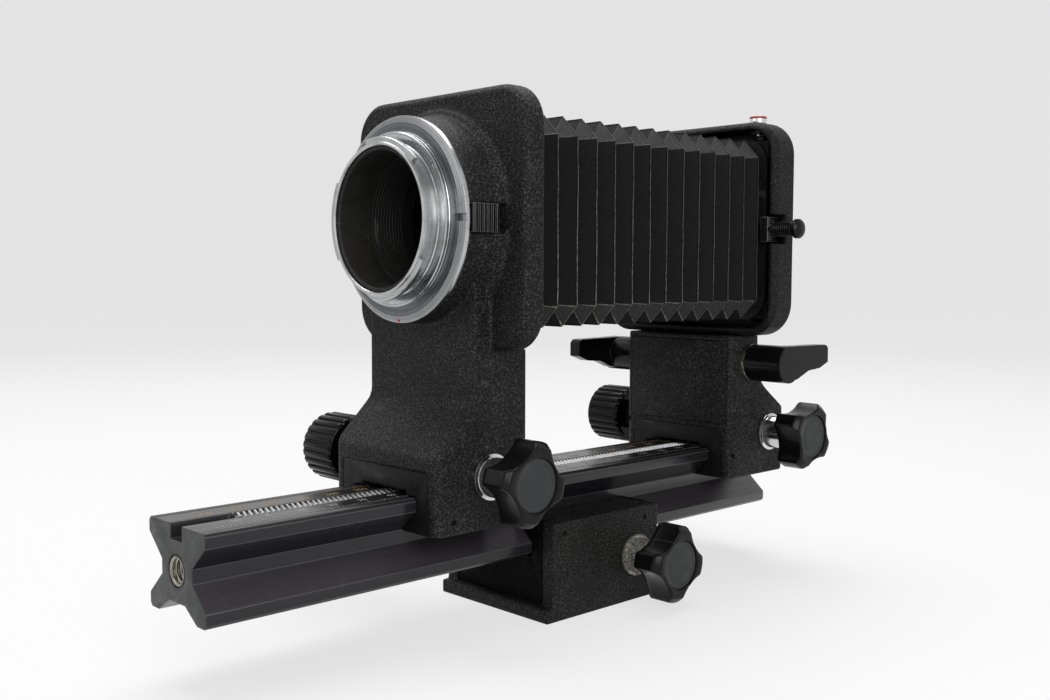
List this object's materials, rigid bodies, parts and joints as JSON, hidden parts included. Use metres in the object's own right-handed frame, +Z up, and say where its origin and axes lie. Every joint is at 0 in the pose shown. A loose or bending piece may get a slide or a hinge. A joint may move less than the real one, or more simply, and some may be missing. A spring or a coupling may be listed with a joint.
{
  "type": "macro bellows unit",
  "caption": "Macro bellows unit: two sliding standards with bayonet mounts on a dovetail rail with rack drives, joined by a pleated bellows, over a tripod block.",
  "frame": {"origin": "mouth of the tripod bush, in the base of the tripod block, under the middle of the rail's width", "axes": "+X along the rail towards the lens, +Y towards the focusing knobs, +Z up"},
  "size_m": [0.2346, 0.1057, 0.1623],
  "materials": {
    "crinkle_black": "crinkle-painted matt black casting",
    "satin_black": "satin black anodised or smooth painted",
    "gloss_black": "glossy black moulding",
    "fluted_black": "fluted black anodised aluminium",
    "grey_cap": "matt dark grey disc",
    "scale": "black strip with a printed millimetre scale",
    "rack_metal": "cut rack teeth, bright",
    "chrome": "satin chrome",
    "steel": "bright turned metal",
    "red_ring": "red enamel",
    "bellows_cloth": "folded black coated cloth"
  },
  "bodies": {
    "block": {"block_casting": "crinkle_black", "block_rear_cover": "satin_black", "block_front_cover": "satin_black", "tripod_bush": "steel", "block_lock_bush": "steel", "block_clamp_shoe": "steel"},
    "block_knob": {"block_lock_knob": "gloss_black", "block_lock_cap": "grey_cap", "block_lock_stud": "steel"},
    "rail_bar": {"rail": "satin_black", "rack": "rack_metal", "scale_strip_left": "scale", "scale_strip_right": "scale", "rail_end_inserts": "steel", "bellows_rear": "bellows_cloth", "bellows_front": "bellows_cloth"},
    "camera_end": {"camera_standard": "crinkle_black", "camera_rear_cover": "satin_black", "camera_front_cover": "satin_black", "camera_lock_bush": "steel", "camera_focus_bush": "satin_black", "bellows_rear_frame": "satin_black"},
    "camera_mount": {"camera_bayonet": "chrome", "camera_mount_hub": "steel", "camera_mount_sleeve": "satin_black", "camera_mount_retainer": "satin_black"},
    "mount_release": {"rotation_release": "fluted_black"},
    "camera_drive": {"camera_focus_shaft": "steel", "camera_pinion": "rack_metal", "camera_focus_knob": "fluted_black"},
    "camera_knob": {"camera_lock_knob": "gloss_black", "camera_lock_cap": "grey_cap", "camera_lock_stud": "steel"},
    "lens_end": {"lens_standard": "crinkle_black", "lens_rear_cover": "satin_black", "lens_upper_cover": "satin_black", "lens_front_cover": "satin_black", "lens_lock_bush": "steel", "lens_focus_bush": "satin_black", "lever_collars": "steel", "lens_panel": "crinkle_black", "bellows_front_frame": "satin_black", "lens_bayonet": "chrome", "lens_bayonet_screws": "chrome", "cable_socket": "chrome", "cable_socket_ring": "red_ring"},
    "lens_drive": {"lens_focus_shaft": "steel", "lens_pinion": "rack_metal", "lens_focus_knob": "fluted_black"},
    "lens_knob": {"lens_lock_knob": "gloss_black", "lens_lock_cap": "grey_cap", "lens_lock_stud": "steel"},
    "right_lever": {"right_clamp_lever": "gloss_black", "right_lever_stud": "steel"},
    "left_lever": {"left_clamp_lever": "gloss_black", "left_lever_stud": "steel"},
    "stop_down": {"stop_down_ring": "steel", "stop_down_pin": "fluted_black"},
    "lens_release_button": {"lens_release": "fluted_black"}
  },
  "joints": [
    {"name": "rail_slide", "type": "slide", "parent": "block", "child": "rail_bar", "axis": [1, 0, 0], "range_m": [-0.07, 0.105]},
    {"name": "camera_slide", "type": "slide", "parent": "rail_bar", "child": "camera_end", "axis": [1, 0, 0], "range_m": [-0.06, 0.049], "deforming": ["bellows_rear"]},
    {"name": "lens_slide", "type": "slide", "parent": "rail_bar", "child": "lens_end", "axis": [1, 0, 0], "range_m": [-0.049, 0.001], "deforming": ["bellows_front"]},
    {"name": "camera_mount_turn", "type": "hinge", "parent": "camera_end", "child": "camera_mount", "pos_m": [-0.06, 0, 0.1223], "axis": [1, 0, 0], "range_deg": [0, 90]},
    {"name": "mount_release_push", "type": "slide", "parent": "camera_end", "child": "mount_release", "axis": [1, 0, 0], "range_m": [0, 0.0017], "stiffness_N_per_m": 400},
    {"name": "camera_drive_turn", "type": "hinge", "parent": "camera_end", "child": "camera_drive", "pos_m": [-0.05, 0, 0.04854], "axis": [0, 1, 0], "range_deg": [-620, 510]},
    {"name": "camera_knob_turn", "type": "hinge", "parent": "camera_end", "child": "camera_knob", "pos_m": [-0.05, -0.04, 0.04854], "axis": [0, -1, 0], "range_deg": [0, 270]},
    {"name": "lens_drive_turn", "type": "hinge", "parent": "lens_end", "child": "lens_drive", "pos_m": [0.088, 0, 0.04854], "axis": [0, 1, 0], "range_deg": [-510, 15]},
    {"name": "lens_knob_turn", "type": "hinge", "parent": "lens_end", "child": "lens_knob", "pos_m": [0.088, -0.04, 0.04854], "axis": [0, -1, 0], "range_deg": [0, 270]},
    {"name": "block_knob_turn", "type": "hinge", "parent": "block", "child": "block_knob", "pos_m": [0.0134, -0.04, 0.015], "axis": [0, -1, 0], "range_deg": [0, 270]},
    {"name": "right_lever_swing", "type": "hinge", "parent": "lens_end", "child": "right_lever", "pos_m": [0.0755, -0.035, 0.0749], "axis": [0, -1, 0], "range_deg": [0, 40]},
    {"name": "left_lever_swing", "type": "hinge", "parent": "lens_end", "child": "left_lever", "pos_m": [0.0755, 0.035, 0.0749], "axis": [0, 1, 0], "range_deg": [0, 35]},
    {"name": "stop_down_swing", "type": "hinge", "parent": "lens_end", "child": "stop_down", "pos_m": [0.0753, 0, 0.1223], "axis": [1, 0, 0], "range_deg": [-3, 3]},
    {"name": "lens_release_push", "type": "slide", "parent": "lens_end", "child": "lens_release_button", "axis": [-1, 0, 0], "range_m": [0, 0.0017], "stiffness_N_per_m": 400}
  ],
  "couplings": [
    {"joint": "camera_drive_turn", "follows": "camera_slide", "rad_per_m": 178.99},
    {"joint": "lens_drive_turn", "follows": "lens_slide", "rad_per_m": 178.99}
  ]
}
